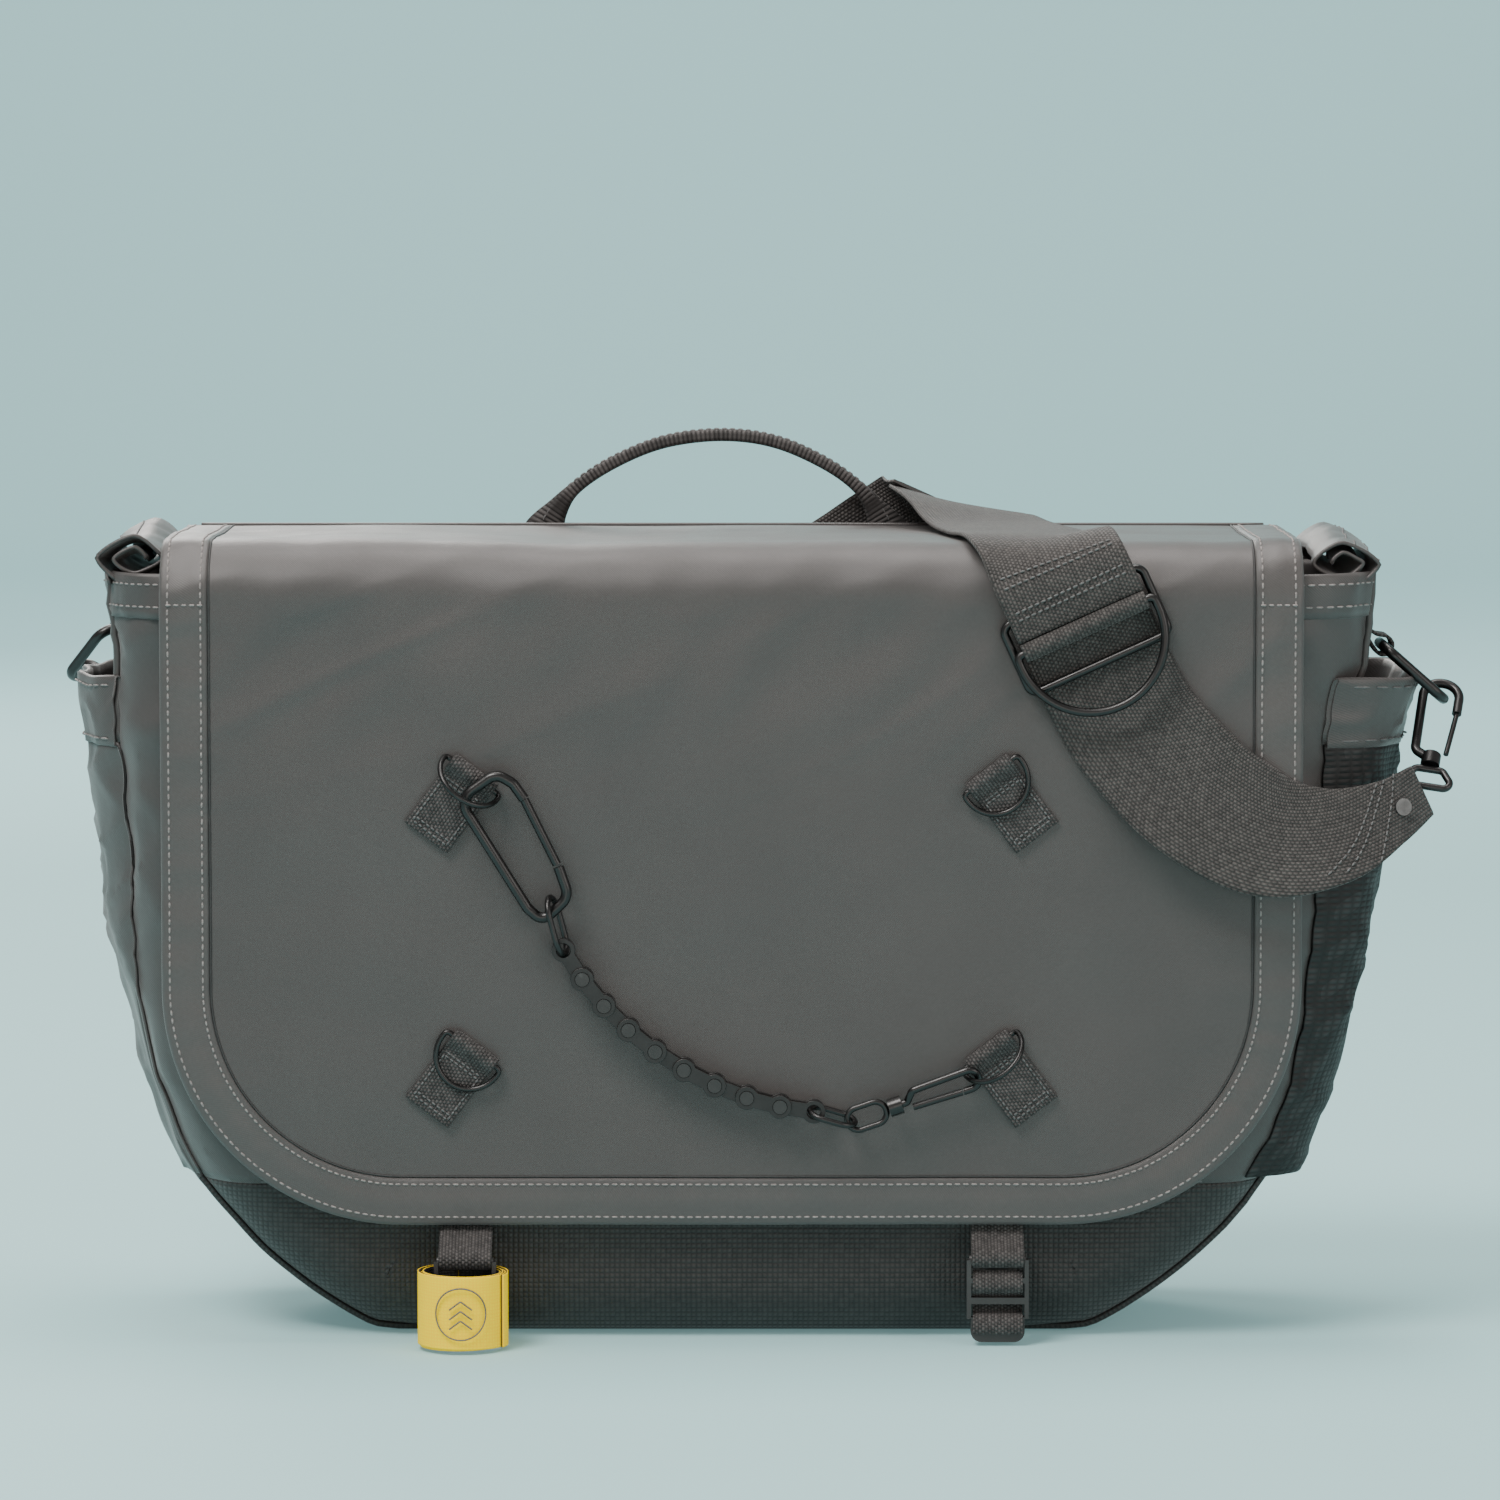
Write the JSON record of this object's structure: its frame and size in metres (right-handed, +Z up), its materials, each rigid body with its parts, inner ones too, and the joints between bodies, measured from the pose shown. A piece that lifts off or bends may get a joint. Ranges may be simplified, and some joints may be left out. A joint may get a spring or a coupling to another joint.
{
  "type": "messenger bag",
  "caption": "Flap-covered courier bag with D-ring tabs, chain leash, side pockets, shoulder strap and grab handle",
  "frame": {"origin": "middle of the flat base, on the floor", "axes": "+X to the bag's right as seen from the front, +Y towards its back, +Z up"},
  "size_m": [0.5342, 0.2028, 0.3343],
  "materials": {
    "bag_cloth": "satin twill nylon, sewn and turned",
    "ballistic_cloth": "coarse ballistic basket weave",
    "pocket_mesh": "figured black mesh",
    "flap_cloth": "smooth satin nylon",
    "binding_cloth": "satin nylon binding with two rows of pale stitches",
    "stiffener_board": "plain board",
    "tab_webbing": "narrow woven webbing",
    "strap_webbing": "wide woven webbing with pale flecks",
    "handle_webbing": "webbing folded along its length",
    "black_metal": "satin black coating",
    "chain_steel": "dull black chain",
    "rivet_metal": "brushed",
    "buckle_plastic": "fine moulded texture",
    "band_vinyl": "glossy yellow reflective vinyl"
  },
  "bodies": {
    "root": {"back_panel": "bag_cloth", "base_stiffener": "stiffener_board", "bottom_gusset": "ballistic_cloth", "front_lower_panel": "ballistic_cloth", "front_panel": "bag_cloth", "lash_strap_left": "tab_webbing", "lash_strap_right": "tab_webbing", "pocket_hem_left": "bag_cloth", "pocket_hem_right": "bag_cloth", "rolled_ear_left": "bag_cloth", "rolled_ear_right": "bag_cloth", "side_gusset_left": "bag_cloth", "side_gusset_right": "bag_cloth", "side_pocket_left": "bag_cloth", "side_pocket_right": "pocket_mesh", "side_ring_left": "black_metal", "side_ring_right": "black_metal", "side_ring_tab_left": "tab_webbing", "side_ring_tab_right": "tab_webbing", "strap_hook_eye_left": "black_metal", "strap_hook_eye_right": "black_metal", "strap_lower_run": "strap_webbing", "strap_rear_run": "strap_webbing", "strap_rivet": "rivet_metal"},
    "flap": {"flap_panel": "flap_cloth", "flap_binding": "binding_cloth", "d_ring_tab_top_left": "tab_webbing", "d_ring_tab_top_right": "tab_webbing", "d_ring_tab_bottom_left": "tab_webbing", "d_ring_tab_bottom_right": "tab_webbing", "strap_front_run": "strap_webbing", "strap_fold": "strap_webbing"},
    "handle": {"grab_handle": "handle_webbing"},
    "d_ring_top_right": {"d_ring_top_right": "black_metal"},
    "d_ring_bottom_left": {"d_ring_bottom_left": "black_metal"},
    "chain_leash": {"carabiner_body": "black_metal", "jump_ring_upper": "black_metal", "chain_inner_links": "chain_steel", "chain_outer_links": "chain_steel", "chain_pins": "chain_steel", "jump_ring_lower": "black_metal", "swivel_eye": "black_metal", "swivel_collar": "black_metal", "snap_hook_body": "black_metal"},
    "d_ring_top_left": {"d_ring_top_left": "black_metal"},
    "d_ring_bottom_right": {"d_ring_bottom_right": "black_metal"},
    "carabiner_gate": {"carabiner_gate": "black_metal"},
    "snap_gate": {"snap_hook_gate": "black_metal"},
    "strap_slider": {"strap_slider": "black_metal"},
    "strap_d_ring": {"strap_d_ring": "black_metal"},
    "strap_hook_right": {"strap_hook_right": "black_metal"},
    "strap_hook_gate_right": {"strap_hook_gate_right": "black_metal"},
    "strap_hook_left": {"strap_hook_left": "black_metal"},
    "strap_hook_gate_left": {"strap_hook_gate_left": "black_metal"},
    "lash_buckle_right": {"lash_buckle_right": "buckle_plastic"},
    "lash_buckle_left": {"lash_buckle_left": "buckle_plastic"},
    "slap_band": {"slap_band": "band_vinyl"}
  },
  "joints": [
    {"name": "flap_hinge", "type": "hinge", "parent": "root", "child": "flap", "pos_m": [0, 0.0645, 0.2955], "axis": [-1, 0, 0], "range_deg": [0, 100], "deforming": ["strap_lower_run", "strap_rear_run"]},
    {"name": "handle_fold", "type": "hinge", "parent": "root", "child": "handle", "pos_m": [-0.004, 0.069, 0.2945], "axis": [-1, 0, 0], "range_deg": [0, 80]},
    {"name": "d_ring_top_right_lift", "type": "hinge", "parent": "flap", "child": "d_ring_top_right", "pos_m": [0.09548, -0.0757, 0.21228], "axis": [-0.7986, 0, -0.6018], "range_deg": [0, 130]},
    {"name": "d_ring_bottom_left_lift", "type": "hinge", "parent": "flap", "child": "d_ring_bottom_left", "pos_m": [-0.09548, -0.0757, 0.10998], "axis": [-0.7986, 0, 0.6018], "range_deg": [0, 130]},
    {"name": "chain_swing", "type": "hinge", "parent": "flap", "child": "chain_leash", "pos_m": [-0.0865, -0.0804, 0.2045], "axis": [-0.8586, 0, 0.5127], "range_deg": [0, 8]},
    {"name": "d_ring_top_left_lift", "type": "hinge", "parent": "flap", "child": "d_ring_top_left", "pos_m": [-0.09548, -0.0757, 0.21228], "axis": [-0.7986, 0, 0.6018], "range_deg": [0, 6.5]},
    {"name": "d_ring_bottom_right_lift", "type": "hinge", "parent": "flap", "child": "d_ring_bottom_right", "pos_m": [0.09548, -0.0757, 0.10998], "axis": [-0.7986, 0, -0.6018], "range_deg": [0, 6.5]},
    {"name": "carabiner_gate_open", "type": "hinge", "parent": "chain_leash", "child": "carabiner_gate", "pos_m": [-0.0644, -0.0804, 0.17973], "axis": [0, -1, 0], "range_deg": [0, 22], "stiffness_Nm_per_rad": 0.02},
    {"name": "snap_gate_open", "type": "hinge", "parent": "chain_leash", "child": "snap_gate", "pos_m": [0.06718, -0.07948, 0.08943], "axis": [0.1114, -0.9397, -0.3234], "range_deg": [0, 10], "stiffness_Nm_per_rad": 0.01},
    {"name": "slider_travel", "type": "slide", "parent": "flap", "child": "strap_slider", "axis": [0.4129, 0, -0.9108], "range_m": [0, 0.006]},
    {"name": "strap_d_ring_lift", "type": "hinge", "parent": "flap", "child": "strap_d_ring", "pos_m": [0.13, -0.0798, 0.2675], "axis": [-0.9108, 0, -0.4129], "range_deg": [0, 110]},
    {"name": "strap_hook_right_swivel", "type": "hinge", "parent": "root", "child": "strap_hook_right", "pos_m": [0.259, -0.05, 0.207], "axis": [0.185, 0.6412, 0.7448], "range_deg": [-8, 8]},
    {"name": "strap_hook_right_gate_open", "type": "hinge", "parent": "strap_hook_right", "child": "strap_hook_gate_right", "pos_m": [0.26674, -0.04152, 0.21685], "axis": [0, -0.7578, 0.6524], "range_deg": [0, 18], "stiffness_Nm_per_rad": 0.01},
    {"name": "strap_hook_left_swivel", "type": "hinge", "parent": "root", "child": "strap_hook_left", "pos_m": [-0.22539, 0.09515, 0.207], "axis": [-0.5842, -0.3226, 0.7448], "range_deg": [-8, 8]},
    {"name": "strap_hook_left_gate_open", "type": "hinge", "parent": "strap_hook_left", "child": "strap_hook_gate_left", "pos_m": [-0.23685, 0.09463, 0.21685], "axis": [0.5359, 0.5359, 0.6524], "range_deg": [0, 18], "stiffness_Nm_per_rad": 0.01},
    {"name": "lash_buckle_right_tilt", "type": "hinge", "parent": "root", "child": "lash_buckle_right", "pos_m": [0.0987, -0.076, 0.032], "axis": [-1, 0, 0], "range_deg": [0, 35]},
    {"name": "lash_buckle_left_tilt", "type": "hinge", "parent": "root", "child": "lash_buckle_left", "pos_m": [-0.0987, -0.081, 0.032], "axis": [-1, 0, 0], "range_deg": [0, 20]},
    {"name": "slap_band_turn", "type": "hinge", "parent": "lash_buckle_left", "child": "slap_band", "pos_m": [-0.0997, -0.0825, 0.0155], "axis": [0, 0, 1], "continuous": true}
  ],
  "couplings": [
    {"joint": "handle_fold", "follows": "flap_hinge", "ratio": 0.8},
    {"joint": "d_ring_top_left_lift", "follows": "chain_swing", "ratio": 0.8},
    {"joint": "d_ring_bottom_right_lift", "follows": "chain_swing", "ratio": 0.8}
  ]
}
